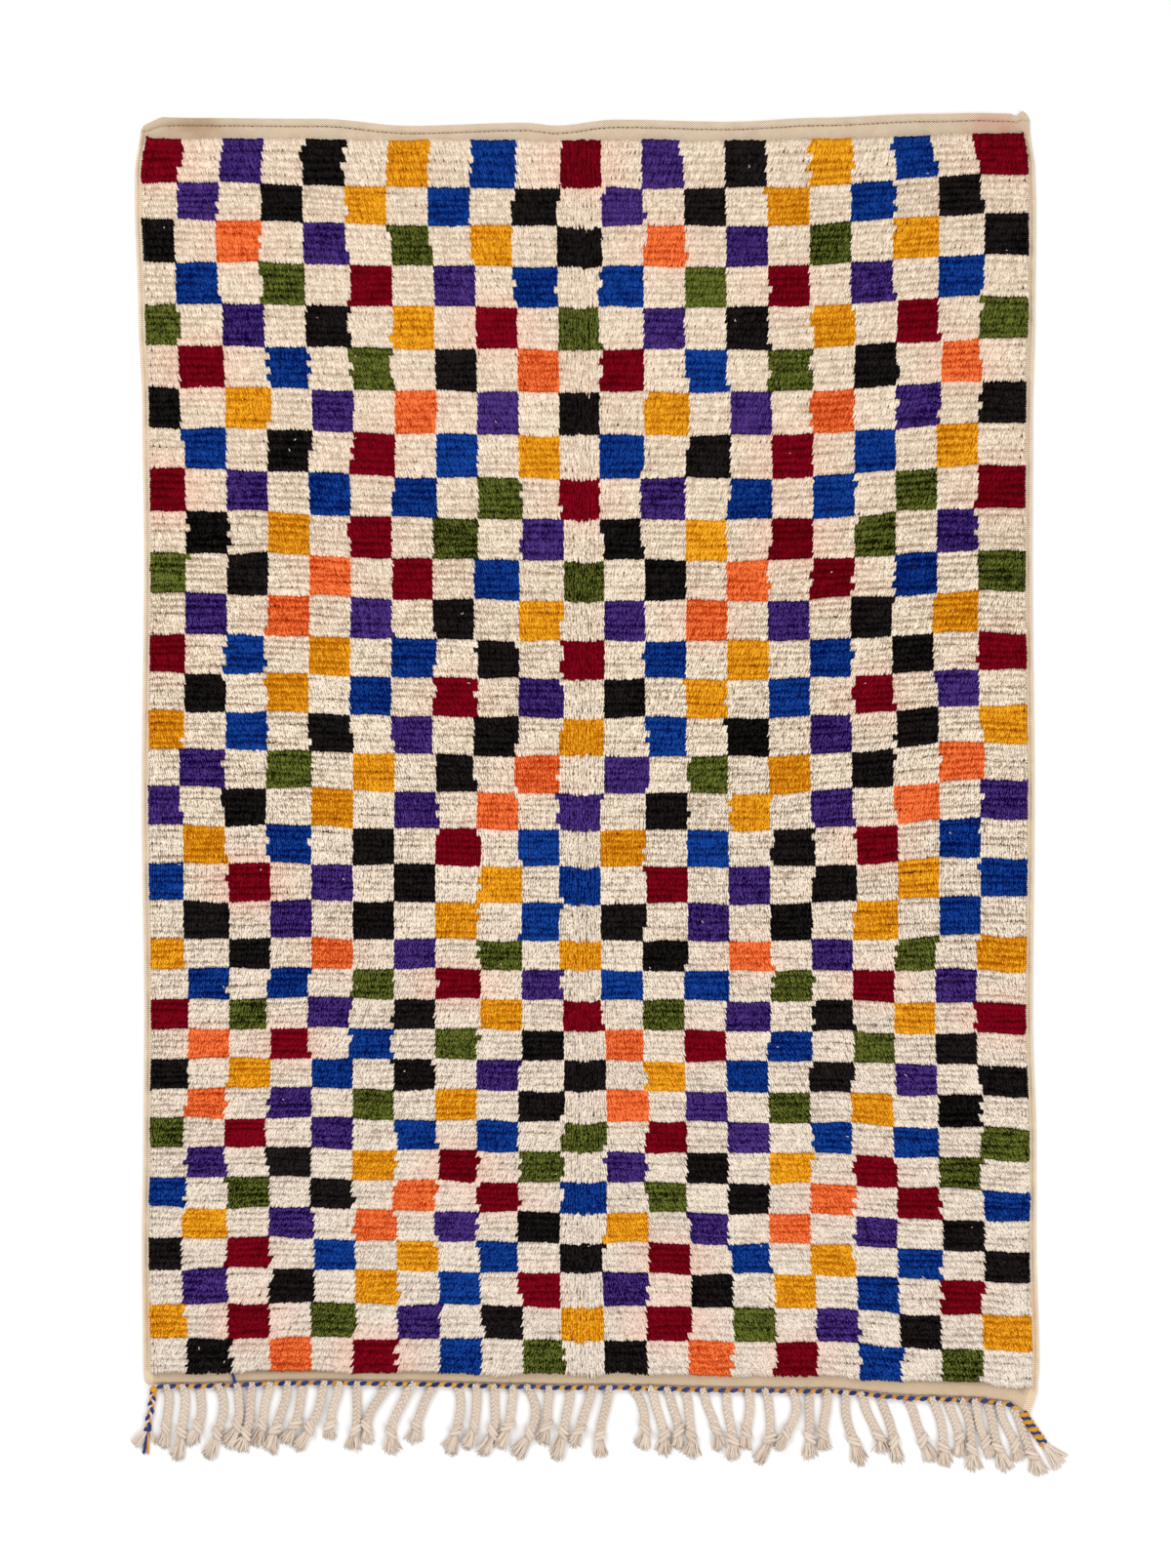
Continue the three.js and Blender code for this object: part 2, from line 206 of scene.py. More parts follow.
# The weave's repeats, and the stains by the hem: where, how far they reach and their colour.
WARP_PITCH = 2.7
WEFT_PITCH = 2.5
RIB_PITCH = 2.3
STAINS = [((-440, 700, 4), 75, (150, 104, 66)), ((455, 700, 4), 50, (214, 132, 118))]

# Each tube's own share of the map: a margin round it, and where its root and tip caps meet its sides.
MAP_MARGIN = 0.04
MAP_ROOT = 0.1
MAP_TIP = 0.8

# Yarn colours, dark and light, as they look on a screen.
YARNS = {
    "cream": ((188, 165, 142), (245, 230, 209)),
    "crimson": ((80, 0, 7), (126, 5, 26)),
    "purple": ((13, 0, 54), (77, 51, 123)),
    "black": ((0, 0, 0), (34, 28, 28)),
    "yellow": ((172, 95, 0), (236, 166, 34)),
    "blue": ((0, 13, 74), (20, 65, 147)),
    "green": ((12, 16, 0), (99, 106, 42)),
    "orange": ((178, 54, 12), (247, 126, 66)),
    "navy": ((22, 28, 78), (66, 74, 132)),
    "mustard": ((190, 106, 30), (228, 172, 60)),
    "fringe_cream": ((184, 161, 142), (236, 222, 207)),
}

# Other colours, as they look on a screen.
# Painted shadow in the cream pile towards the fringe.
CREAM_SHADOW = (136, 110, 85)
GREYER_CREAM = (222, 213, 207)
RUN_DYE = (240, 172, 150)
WEAVE = ((168, 134, 100), (254, 238, 213))
# Painted shade in the sewn groove of the hem.
GROOVE_SHADE = (110, 84, 56)
# The foot band's warmer tint with painted light.
FOOT_TINT_AND_LIGHT = (228, 193, 150)
# The ground under the pile: its own brown with painted shade.
KNOT_GROUND_AND_SHADE = (92, 70, 56)
THREAD = ((84, 62, 42), (166, 136, 104))
FLOOR = ((246, 246, 246), (250, 250, 250))

# A run of five yarns for each row of checks. Eight rows are charted, and later rows follow from them.
RUNS = ["RPKYB", "PKYBK", "KOPGY", "BGRPB", "GPKYR", "RBGKO", "KYPOP", "BKRBY"]
LETTERS = dict(R="crimson", P="purple", K="black", Y="yellow", B="blue", G="green", O="orange")


def smooth_step(low, high, value):
    share = np.clip((value - low) / (high - low), 0, 1)
    return share * share * (3 - 2 * share)


def between(places, values, at):
    """Smooth steps between values that are given at certain places."""
    index = np.clip(np.searchsorted(places, at, side="right") - 1, 0, len(places) - 2)
    eased = smooth_step(places[index], places[index + 1], at)
    return values[index] + (values[index + 1] - values[index]) * eased


def hem_edge(x):
    return LENGTH / 2 + between(END_PLACES, HEM_STRAYS, x)


def fringe_edge(x):
    return -LENGTH / 2 - between(END_PLACES, FRINGE_STRAYS, x)


def left_edge(y):
    return -WIDTH / 2 - between(SIDE_PLACES, LEFT_STRAYS, y)


def right_edge(y):
    return WIDTH / 2 + between(SIDE_PLACES, RIGHT_STRAYS, y)


def unevenness(index, kind):
    """A set value from -1 to 1 for each index, the same as in the CAD."""
    wave = np.sin(np.asarray(index) * 12.9898 + kind * 78.233) * 43758.5453
    return 2 * (wave - np.floor(wave)) - 1


def unit(vectors):
    return vectors / np.maximum(np.linalg.norm(vectors, axis=-1, keepdims=True), 1e-9)


def directions(paths, facing):
    """Directions sideways and outwards at each point of some paths, outwards as near as can be to facing."""
    along = unit(np.gradient(paths, axis=1))
    side = unit(np.cross(along, np.broadcast_to(np.asarray(facing, float), along.shape)))
    return side, np.cross(side, along)


def turned(along):
    """Directions on the floor, turned a quarter to the left."""
    return np.stack([-along[..., 1], along[..., 0]], -1)


def raised(points, height):
    """Points given by x and y only, with a height."""
    return np.concatenate([points, np.broadcast_to(height, points.shape[:-1])[..., None]], -1)


def set_of(corners, quads, triangles, quad_map, tri_map, shade):
    """A set of like tubes or strips: the corners of each, with the faces and map of one repeated for all."""
    count, size = corners.shape[:2]
    offset = (np.arange(count) * size)[:, None, None]
    return {
        "tubes": count,
        "points": corners.reshape(-1, 3),
        "quads": (quads + offset).reshape(-1, 4),
        "triangles": (triangles + offset).reshape(-1, 3),
        "quad_map": np.tile(quad_map, (count, 1, 1)),
        "tri_map": np.tile(tri_map, (count, 1, 1)),
        "quad_tube": np.repeat(np.arange(count), len(quads)),
        "tri_tube": np.repeat(np.arange(count), len(triangles)),
        "shade": shade.ravel(),
    }


def grid_faces(rows, columns, closed=False):
    """Faces between neighbouring corners of a grid. Its last column may close round to the first."""
    corner = np.arange(rows * columns).reshape(rows, columns)
    if closed:
        corner = np.concatenate([corner, corner[:, :1]], axis=1)
    ring = [corner[:-1, :-1], corner[1:, :-1], corner[1:, 1:], corner[:-1, 1:]]
    return np.stack(ring, -1).reshape(-1, 4)


def grid_map(along, across):
    """Where the faces of a grid lie on a map that has its rows and columns at these places."""
    spots = np.stack(np.meshgrid(across, along), -1).reshape(-1, 2)
    return spots[grid_faces(len(along), len(across))]


def tube_caps(sides, rings):
    """The triangles that close a tube's tip and root, and where they lie on its map."""
    here = np.arange(sides)
    following = (here + 1) % sides
    last = (rings - 1) * sides
    tip = np.full(sides, rings * sides)
    at_tip = np.stack([last + here, tip, last + following], -1)
    at_root = np.stack([tip + 1, here, following], -1)
    left = here / sides
    right = (here + 1) / sides
    middle = (left + right) / 2
    one = np.ones(sides)
    tip_map = np.stack([left, MAP_TIP * one, middle, one, right, MAP_TIP * one], -1)
    root_map = np.stack([middle, 0 * one, left, MAP_ROOT * one, right, MAP_ROOT * one], -1)
    return np.concatenate([at_tip, at_root]), np.concatenate([tip_map, root_map]).reshape(-1, 3, 2)


def tubes(paths, radii, sides, shade, facing=(0, 0, 1), squash=1.0):
    """Tubes along paths of shape (count, points, 3), with a ring of corners at each inner point and a corner
    at either end. The shade is one value, one for each tube, or one for each point."""
    count, points = paths.shape[:2]
    side, up = directions(paths, facing)
    angle = 2 * np.pi * np.arange(sides) / sides + np.pi / 2
    turn_side = np.cos(angle)[None, None, :, None] * side[:, 1:-1, None]
    turn_up = squash * np.sin(angle)[None, None, :, None] * up[:, 1:-1, None]
    radius = np.broadcast_to(radii, (count, points))[:, 1:-1, None, None]
    ring = paths[:, 1:-1, None] + radius * (turn_side + turn_up)
    corners = np.concatenate([ring.reshape(count, -1, 3), paths[:, -1:], paths[:, :1]], axis=1)
    shade = np.asarray(shade, float)
    shade = np.broadcast_to(shade[:, None] if shade.ndim == 1 else shade, (count, points))
    shade = np.concatenate([np.repeat(shade[:, 1:-1], sides, axis=1), shade[:, -1:], shade[:, :1]], axis=1)
    rings = points - 2
    quads = grid_faces(rings, sides, closed=True)
    quad_map = grid_map(np.linspace(MAP_ROOT, MAP_TIP, rings), np.arange(sides + 1) / sides)
    triangles, tri_map = tube_caps(sides, rings)
    return set_of(corners, quads, triangles, quad_map, tri_map, shade)


def strips(paths, widths, rises, shade, starts, facing):
    """Ridged strips along paths of shape (count, points, 3), open below: at each point there is a corner on
    either side and a raised one between them. Each corner has its own shade, and a place across and along
    the fibres, counted from the strip's own start."""
    count, points = paths.shape[:2]
    side, up = directions(paths, facing)
    edge = widths[..., None] * side
    corners = np.stack([paths - edge, paths + rises[..., None] * up, paths + edge], 2)
    steps = np.linalg.norm(np.diff(paths, axis=1, prepend=paths[:, :1]), axis=-1)
    fibre = np.zeros((count, points, 3, 3))
    fibre[..., 0] = widths[..., None] * np.array([-1, 0, 1]) / FIBRE_WIDTH
    fibre[..., 1] = np.cumsum(steps, axis=1)[..., None] / FIBRE_LENGTH
    fibre += starts[:, None, None, :]
    outwards = [0, 3, 2, 1]
    quads = grid_faces(points, 3)[:, outwards]
    quad_map = grid_map(np.linspace(0, 1, points), np.linspace(0, 1, 3))[:, outwards]
    no_triangles = np.zeros((0, 3), int)
    no_map = np.zeros((0, 3, 2))
    made = set_of(corners.reshape(count, -1, 3), quads, no_triangles, quad_map, no_map, shade)
    made["fibre"] = fibre.reshape(-1, 3)
    return made


def joined(parts):
    """Several sets of tubes or strips as one."""
    total = {key: [] for key in parts[0]}
    corners = 0
    tubes_so_far = 0
    for part in parts:
        shifts = dict(quads=corners, triangles=corners, quad_tube=tubes_so_far, tri_tube=tubes_so_far)
        for key, values in part.items():
            total[key].append(values + shifts[key] if key in shifts else values)
        corners += len(part["points"])
        tubes_so_far += part["tubes"]
    made = {key: np.concatenate(values) for key, values in total.items() if key != "tubes"}
    made["tubes"] = tubes_so_far
    return made


def new_mesh(name, points, quads, triangles):
    mesh = bpy.data.meshes.new(name)
    mesh.vertices.add(len(points))
    mesh.vertices.foreach_set("co", (points * MM).astype(np.float32).ravel())
    corners = np.concatenate([quads.ravel(), triangles.ravel()]).astype(np.int32)
    mesh.loops.add(len(corners))
    mesh.loops.foreach_set("vertex_index", corners)
    starts = np.concatenate([4 * np.arange(len(quads)), 4 * len(quads) + 3 * np.arange(len(triangles))])
    mesh.polygons.add(len(starts))
    mesh.polygons.foreach_set("loop_start", starts.astype(np.int32))
    mesh.update(calc_edges=True)
    mesh.shade_smooth()
    return mesh


def new_object(name, data):
    made = bpy.data.objects.new(name, data)
    bpy.context.scene.collection.objects.link(made)
    return made


def new_piece(name, mesh, material, node):
    piece = new_object(name, mesh)
    mesh.materials.append(material)
    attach(piece, "root")
    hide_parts(node)
    return piece


def add_values(mesh, name, values):
    attribute = mesh.attributes.new(name, "FLOAT", "POINT")
    attribute.data.foreach_set("value", np.asarray(values, np.float32))


def yarn_piece(name, made, material, node):
    """One piece from a set of tubes or strips. Its map gives each of them a square of its own."""
    mesh = new_mesh(name, made["points"], made["quads"], made["triangles"])
    for key in ("shade", "blush"):
        if key in made:
            add_values(mesh, key, made[key])
    if "fibre" in made:
        mesh.attributes.new("fibre", "FLOAT_VECTOR", "POINT")
        mesh.attributes["fibre"].data.foreach_set("vector", made["fibre"].astype(np.float32).ravel())
    across = int(np.ceil(np.sqrt(made["tubes"])))
    layer = mesh.uv_layers.new(name="OFBake")
    spots = []
    for kind in ("quad", "tri"):
        tube = made[kind + "_tube"]
        corner = np.stack([tube % across, tube // across], -1)[:, None, :]
        inner = MAP_MARGIN + (1 - 2 * MAP_MARGIN) * made[kind + "_map"]
        spots.append(((corner + inner) / across).reshape(-1, 2))
    layer.uv.foreach_set("vector", np.concatenate(spots).astype(np.float32).ravel())
    return new_piece(name, mesh, material, node)


def linear(colour):
    """A screen colour, 0 to 255, as the light values that a shader takes."""
    value = np.array(colour) / 255
    return [*np.where(value <= 0.04045, value / 12.92, ((value + 0.055) / 1.055) ** 2.4), 1.0]


class Nodes:
    """A material's node tree, with short ways to add to it."""

    def __init__(self, name):
        self.material = bpy.data.materials.new(name)
        self.material.use_nodes = True
        self.tree = self.material.node_tree
        self.shader = self.tree.nodes["Principled BSDF"]
        self.shader.inputs["Roughness"].default_value = 0.95
        self.shader.inputs["Specular IOR Level"].default_value = 0.03

    def put(self, value, socket):
        if isinstance(value, bpy.types.NodeSocket):
            self.tree.links.new(value, socket)
        else:
            socket.default_value = value

    def add(self, kind, inputs, output=0, **settings):
        """A new node with these settings and inputs, and one of its outputs."""
        node = self.tree.nodes.new("ShaderNode" + kind)
        for key, value in settings.items():
            setattr(node, key, value)
        for key, value in inputs.items():
            self.put(value, node.inputs[key])
        return node.outputs[output]

    def place(self):
        return self.add("TexCoord", {}, "Object")

    def attribute(self, name, output="Fac"):
        return self.add("Attribute", {}, output, attribute_name=name)

    def calculate(self, operation, first, second=0.0, third=0.0):
        return self.add("Math", {0: first, 1: second, 2: third}, operation=operation)

    def times(self, first, second):
        return self.calculate("MULTIPLY", first, second)

    def scaled(self, value, factor, added):
        return self.calculate("MULTIPLY_ADD", value, factor, added)

    def axis(self, name):
        return self.add("SeparateXYZ", {0: self.place()}, name)

    def noise(self, scale, detail):
        return self.add("TexNoise", {"Vector": self.place(), "Scale": scale, "Detail": detail}, "Fac")

    def fibres(self):
        """A fine texture of fibres that runs along each yarn end."""
        inputs = {"Vector": self.attribute("fibre", "Vector"), "Scale": 1.0, "Detail": 1.0}
        return self.add("TexNoise", inputs, "Fac", noise_dimensions="2D")

    def mix(self, share, first, second):
        return self.add("Mix", {"Factor": share, "A": first, "B": second}, "Result", data_type="RGBA")

    def near(self, point, reach):
        """1 at a point, falling to 0 at the given reach."""
        ends = {0: self.place(), 1: np.array(point) * MM}
        away = self.add("VectorMath", ends, "Value", operation="DISTANCE")
        inputs = {"Value": away, "From Max": reach * MM, "To Min": 1.0, "To Max": 0.0}
        return self.add("MapRange", inputs, "Result", interpolation_type="SMOOTHSTEP")

    def bump(self, height, depth, strength):
        inputs = {"Height": height, "Distance": depth * MM, "Strength": strength}
        self.put(self.add("Bump", inputs, "Normal"), self.shader.inputs["Normal"])

    def colour(self, value):
        self.put(value, self.shader.inputs["Base Color"])


def pile_material(name):
    """Dyed pile wool: each yarn end has its own shade, with its painted shade and highlights, broken by
    fibres that show more towards the fringe and brighten up to a painted glint. The cream has deeper painted
    shadows and is greyer towards the fringe, and it is pink where dye has run into it."""
    nodes = Nodes(name + "_pile")
    dark, light = (np.array(linear(colour)[:3]) for colour in YARNS[name])
    glint = min(GLINT, (0.95 - dark.max()) / (light.max() - dark.max()))
    brightest = [*(dark + glint * (light - dark)), 1.0]
    darkest = [*dark, 1.0]
    y = nodes.axis("Y")
    fibre = nodes.times(nodes.calculate("SUBTRACT", nodes.fibres(), 0.5), nodes.scaled(y, -1.4, 3.2))
    shade = nodes.calculate("ADD", nodes.attribute("shade"), fibre)
    if name == "cream":
        # Painted shadow: the cream's darkest colour darkens towards the fringe; its shade rises to make up.
        deep = nodes.calculate("MAXIMUM", nodes.scaled(y, -2.5, 0.9), 0.0)
        deep = nodes.calculate("MINIMUM", deep, 1.0)
        darkest = nodes.mix(deep, darkest, linear(CREAM_SHADOW))
        shade = nodes.scaled(deep, 0.27, shade)
    colour = nodes.mix(nodes.calculate("DIVIDE", shade, glint), darkest, brightest)
    if name == "cream":
        # Greyer towards the fringe.
        colour = nodes.mix(nodes.scaled(y, -0.45, 0.04), colour, linear(GREYER_CREAM))
        colour = nodes.mix(nodes.times(nodes.attribute("blush"), 0.36), colour, linear(RUN_DYE))
    nodes.colour(colour)
    return nodes.material


def strand_material(name):
    """Spun yarn of the fringe, cord and tails, with fine raised fibres."""
    nodes = Nodes(name + "_yarn")
    dark, light = YARNS[name]
    fibre = nodes.noise(900, 2)
    shade = nodes.scaled(nodes.attribute("shade"), 0.7, nodes.times(fibre, 0.4))
    nodes.colour(nodes.mix(shade, linear(dark), linear(light)))
    nodes.bump(fibre, 0.4, 0.5)
    return nodes.material


def pile_rows():
    """Where each row of knots starts, as a share of the pile's length, and its row of checks."""
    steps = []
    checks = []
    for count, height, rows in CHECK_BANDS:
        for _ in range(count):
            checks += [checks[-1] + 1 if checks else 0] * rows
            steps += [height / rows] * rows
    lines = np.concatenate([[0], np.cumsum(steps)])
    return lines / lines[-1], np.array(checks)


def row_line(x, share):
    """The line of a row of knots. Rows stray up and down, and the lower ones follow the fringed edge, though
    not down into its right corner."""
    foot = PILE_FOOT - PILE_SAG * np.minimum(between(END_PLACES, FRINGE_STRAYS, x), CORNER_STRAY)
    at_left = 1 - smooth_step(-450, -150, x)
    at_right = smooth_step(200, 450, x)
    stray = at_left * between(ROW_SHARES, LEFT_ROW_STRAYS, share)
    stray = stray + (1 - at_left - at_right) * between(ROW_SHARES, MIDDLE_ROW_STRAYS, share)
    stray = stray + at_right * between(ROW_SHARES, RIGHT_ROW_STRAYS, share)
    return PILE_TOP + share * (foot - PILE_TOP) + stray


def wander(x, row):
    """A slow wave along the rows, a little different from row to row."""
    first = np.sin(x / 31 + 1.7 * np.sin(row * 0.37))
    second = np.sin(x / 13 + 2.3 * np.sin(row * 0.91 + 1))
    return 0.7 * first + 0.45 * second


def parting(x, y, row):
    """Where a row of yarn ends lies open, 1, or closed over the next row, 0. The rows are more open at the
    sides than in the middle, and less near the hemmed end."""
    first = 0.6 * np.sin(x / 23 + 5 * np.sin(row * 1.3))
    second = 0.45 * np.sin(x / 57 + row * 2.1)
    third = 0.3 * np.sin(x / 9 + 7 * row)
    strength = 0.8 + 0.2 * smooth_step(200, 400, np.abs(x))
    strength = strength * (0.7 + 0.3 * smooth_step(430, 220, y))
    return np.clip(0.7 + first + second + third, 0, 1) * strength


def run_of(check_row):
    """The five yarns of a row of checks."""
    lap, place = divmod(check_row, len(RUNS))
    run = RUNS[(place + 3 * lap) % len(RUNS)]
    turn = 2 * lap % len(run)
    return run[turn:] + run[:turn]


def knot_colours(row, check_row, x, reached, rng):
    y = row_line(x, row / row.max())
    left = left_edge(y) + PILE_BORDER
    right = right_edge(y) - PILE_BORDER
    across = (x + reached - left) / (right - left) * (WIDTH - 2 * PILE_BORDER) - WIDTH / 2 + PILE_BORDER
    slow = 2.2 * np.sin(y / 83 + 4 * np.sin(x / 160)) + 1.4 * np.sin(y / 31 + x / 60)
    teeth = rng.normal(0, 0.4, (row.max() + 1, CHECKS_ACROSS + 2))
    nearest = np.round((across - FIRST_CHECK_EDGE) / CHECK_WIDTH).astype(int) + 1
    nearest = np.clip(nearest, 0, CHECKS_ACROSS + 1)
    edge = FIRST_CHECK_EDGE + slow + teeth[np.broadcast_to(row, x.shape), nearest]
    column = np.clip(np.floor((across - edge) / CHECK_WIDTH).astype(int) + 1, 0, CHECKS_ACROSS - 1)
    check_row = np.broadcast_to(check_row, x.shape)
    names = np.full(x.shape, "cream", dtype=object)
    for number in range(check_row.max() + 1):
        run = run_of(number)
        for place in range(number % 2, CHECKS_ACROSS, 2):
            inside = (check_row == number) & (column == place)
            names[inside] = LETTERS[run[place // 2 % len(run)]]
    return names, column


def dye_run(names, checks, column):
    """How much red or orange dye has run into each knot from the checks around it. Some checks run more."""
    amount = np.random.default_rng(15).uniform(0, 1, (checks.max() + 1, CHECKS_ACROSS)) ** 1.5
    dye = np.select([names == "crimson", names == "orange"], [1.0, 0.6], 0.0)
    dye = dye * amount[np.broadcast_to(checks[:, None], names.shape), column]
    margin = max(DYE_ROWS, DYE_KNOTS)
    padded = np.pad(dye, margin)
    run = np.zeros(padded.shape)
    for down in range(-DYE_ROWS, DYE_ROWS + 1):
        for along in range(-DYE_KNOTS, DYE_KNOTS + 1):
            fade = 1 - np.hypot(down / (DYE_ROWS + 1), along / (DYE_KNOTS + 1))
            run = np.maximum(run, max(fade, 0) * np.roll(padded, (down, along), (0, 1)))
    return run[margin:-margin, margin:-margin]


def lean(x, y):
    """How far yarn ends lean sideways for each millimetre towards the fringe. They lean in to the middle in
    the upper part, and out in the lower part, most of all near the fringe."""
    turn = 1 - 2 * smooth_step(-290, 40, y)
    slant = 0.34 + 0.26 * smooth_step(-250, -500, y)
    return slant * np.tanh((x - FOLD_AT) / 70) * turn


def pile_yarns():
    """Every yarn end of the pile, in sets: two for each knot, then those that stand along the sides. Each
    set has the points of the yarn's path, its thickness, shade, parting, dye, colour and row."""
    rng = np.random.default_rng(11)
    lines, checks = pile_rows()
    rows = len(checks)
    row = np.arange(rows)[:, None]
    knot = np.arange(KNOTS_ACROSS)[None, :]
    shape = (rows, KNOTS_ACROSS)

    def jitter(spread):
        return rng.normal(0, spread, shape)

    straight = row_line(np.zeros(1), lines[:-1, None])
    left = left_edge(straight) + PILE_BORDER + 1
    right = right_edge(straight) - PILE_BORDER - 1
    x = left + (knot + 0.5 + jitter(0.06)) / KNOTS_ACROSS * (right - left)
    upper = row_line(x, lines[:-1, None])
    pitch = upper - row_line(x, lines[1:, None])
    fold = np.exp(-(((x - FOLD_AT) / FOLD_WIDTH) ** 2))

    y = upper + wander(x, row) + jitter(0.2) + fold * pitch * rng.uniform(-0.25, 0.25, shape)
    y += np.where(row > 0, KNOT_UP * pitch, 1.5)
    border = np.minimum(x - left, right - x)
    slope = lean(x, y) * (1 - fold) * smooth_step(-4, 24, border) + jitter(0.05)
    reach = pitch * (YARN_REACH + jitter(0.04)) * (1 + fold * rng.uniform(0.1, 0.7, shape))
    opened = np.where(row > 0, parting(x, y, row), 0) * (1 - fold)
    reach = reach * (1 - OPEN_LESS * opened)
    names, column = knot_colours(row, checks[:, None], x, 0.6 * slope * reach, rng)
    cell = rng.normal(0, 0.1, (checks.max() + 1, CHECKS_ACROSS))
    tint = cell[np.broadcast_to(checks[:, None], shape), column] * np.where(names == "cream", 0.45, 1)
    tint = tint + jitter(0.06)
    blush = dye_run(names, checks, column)
    drop = np.where(row > rows - 2, TIP_DROP + 5, TIP_DROP + 0.8 * opened)
    root_z = np.where(row < 1, 3.0, KNOT_HEIGHT + 1.0) + np.zeros(shape)

    ends = []
    for place in (-1, 1):
        ragged = 0.06 + 0.09 * (border < 5)
        own_slope = slope + place * 0.03 + ragged * jitter(1)
        own_reach = reach * (1 + jitter(0.05))
        root_x = x + place * YARN_ASIDE + jitter(0.12)
        root_y = y + OPEN_BACK * opened + jitter(0.3)
        height = YARN_HEIGHT + jitter(0.3) - 1.6 * fold
        ends.append({
            "root": np.stack([root_x, root_y, root_z], -1),
            "bend": np.stack([root_x + own_slope * own_reach / 2, y - own_reach / 2, height], -1),
            "tip": np.stack([root_x + own_slope * own_reach, y - own_reach, height - drop], -1),
            "thick": 1 + jitter(0.08) - 0.25 * fold,
            "shade": np.clip(0.5 + tint + jitter(0.12), 0, 1),
            "opened": opened,
            "blush": blush,
            "name": names,
            "row": np.broadcast_to(row, shape),
        })
    for column, outwards in ((0, -1), (-1, 1)):
        for step in range(SIDE_STEPS):
            ends.append(side_yarns(x, y - pitch * step / SIDE_STEPS, tint, names, column, outwards, rng))
    return ends


def side_yarns(x, y, tint, names, column, outwards, rng):
    """Yarn ends that stand along one side of the pile and close it, one for each row of knots."""
    x = x[:, column] + SIDE_ASIDE * outwards + rng.normal(0, 0.3, len(x))
    y = y[:, column] + rng.normal(0, 0.3, len(y))
    yarns = {
        "thick": np.ones(len(x)),
        "shade": 0.5 + tint[:, column],
        "opened": np.zeros(len(x)),
        "blush": np.zeros(len(x)),
        "name": names[:, column],
        "row": np.arange(len(x)),
        "outwards": np.full(len(x), outwards),
    }
    for key, (aside, up, height) in SIDE_PATH.items():
        yarns[key] = np.stack([x + aside * outwards, y + up, np.full(len(x), height)], -1)
    return yarns


def picked(yarns, name, first, last):
    """The yarn ends of one colour in some of the rows."""
    flat = {key: values.reshape(-1, 3) if key in PATH else values.ravel() for key, values in yarns.items()}
    mine = (flat["name"] == name) & (flat["row"] >= first) & (flat["row"] < last)
    return {key: values[mine] for key, values in flat.items()}


def yarn_ends(yarns, rng):
    """Yarn ends that rise from their knots and roll over on to the next row, narrower at the tip. Painted
    shade makes them darker between each other, at their roots and where the row lies open, and a painted
    highlight runs along each ridge."""
    thick = yarns["thick"][:, None]
    count = len(thick)
    place = yarns["root"]
    paths = np.stack([yarns[key] for key in PATH], 1)
    widths = YARN_HALF_WIDTH * thick * WIDTH_SHARES
    rises = YARN_RISE * thick * RISE_SHARES
    # Painted shade along each yarn end: darker at the root and more so in an open row, lighter at the bend.
    along = SHADE_ALONG + yarns["opened"][:, None] * SHADE_OPENED
    # Strength of the painted edge shade and ridge highlight: more towards the fringe and at the fold.
    edge_shading = 0.55 + 0.6 * smooth_step(350, -50, place[:, 1])
    edge_shading = edge_shading + 0.6 * np.exp(-(((place[:, 0] - FOLD_AT) / 18) ** 2))
    across = edge_shading[:, None, None] * SHADE_ACROSS
    shade = yarns["shade"][:, None, None] + along[:, :, None] + across + rng.normal(0, 0.14, (count, 3, 3))
    facing = np.array([0.0, 0.0, 1.0])
    if "outwards" in yarns:
        facing = yarns["outwards"][:, None, None] * np.array([1.0, 0.0, 0.0])
    made = strips(paths, widths, rises, shade, rng.uniform(0, 400, (count, 3)), facing)
    made["blush"] = np.repeat(yarns["blush"], len(made["points"]) // count)
    return made


def make_pile():
    """The pile, a piece for each colour. The cream one is cut in three along the rug."""
    ends = pile_yarns()
    rows = len(ends[0]["row"])
    rng = np.random.default_rng(12)
    pieces = []
    for name in ("cream", *LETTERS.values()):
        material = pile_material(name)
        cuts = [0, *CREAM_CUTS, rows] if name == "cream" else [0, rows]
        for number, (first, last) in enumerate(zip(cuts, cuts[1:])):
            chosen = [picked(yarns, name, first, last) for yarns in ends]
            made = joined([yarn_ends(yarns, rng) for yarns in chosen if len(yarns["row"])])
            title = f"pile_{name}_{number + 1}" if len(cuts) > 2 else f"pile_{name}"
            pieces.append(yarn_piece(title, made, material, "rug_body"))
    return pieces


def make_lint():
    """Short cream fibres that have come loose and lie on the pile."""
    rng = np.random.default_rng(14)
    count = 110
    x = rng.uniform(-480, 480, count)
    y = rng.uniform(-690, 660, count)
    way = rng.uniform(0, np.pi, count)
    long = rng.uniform(1.5, 4.5, count)
    curl = rng.normal(0, 0.9, count)
    share = np.linspace(-0.5, 0.5, 5)
    bow = 4 * share**2
    x = x[:, None] + np.outer(long * np.cos(way), share) - np.outer(curl * np.sin(way), bow)
    y = y[:, None] + np.outer(long * np.sin(way), share) + np.outer(curl * np.cos(way), bow)
    return tubes(raised(np.stack([x, y], -1), YARN_HEIGHT + 1.3), 0.42, 4, rng.uniform(0.4, 1, count))


def selvage_height(away):
    """The side edge has two cords side by side, under fine overcasting."""
    roll = np.abs(np.sin(np.pi * away * 2 / SELVAGE_WIDTH)) ** 0.6
    height = EDGE_HEIGHT + (SELVAGE_HEIGHT - EDGE_HEIGHT) * roll
    height = np.where(away > 4, np.maximum(height, SELVAGE_GROOVE), height)
    return np.where(away < SELVAGE_WIDTH, height, GROUND_HEIGHT)


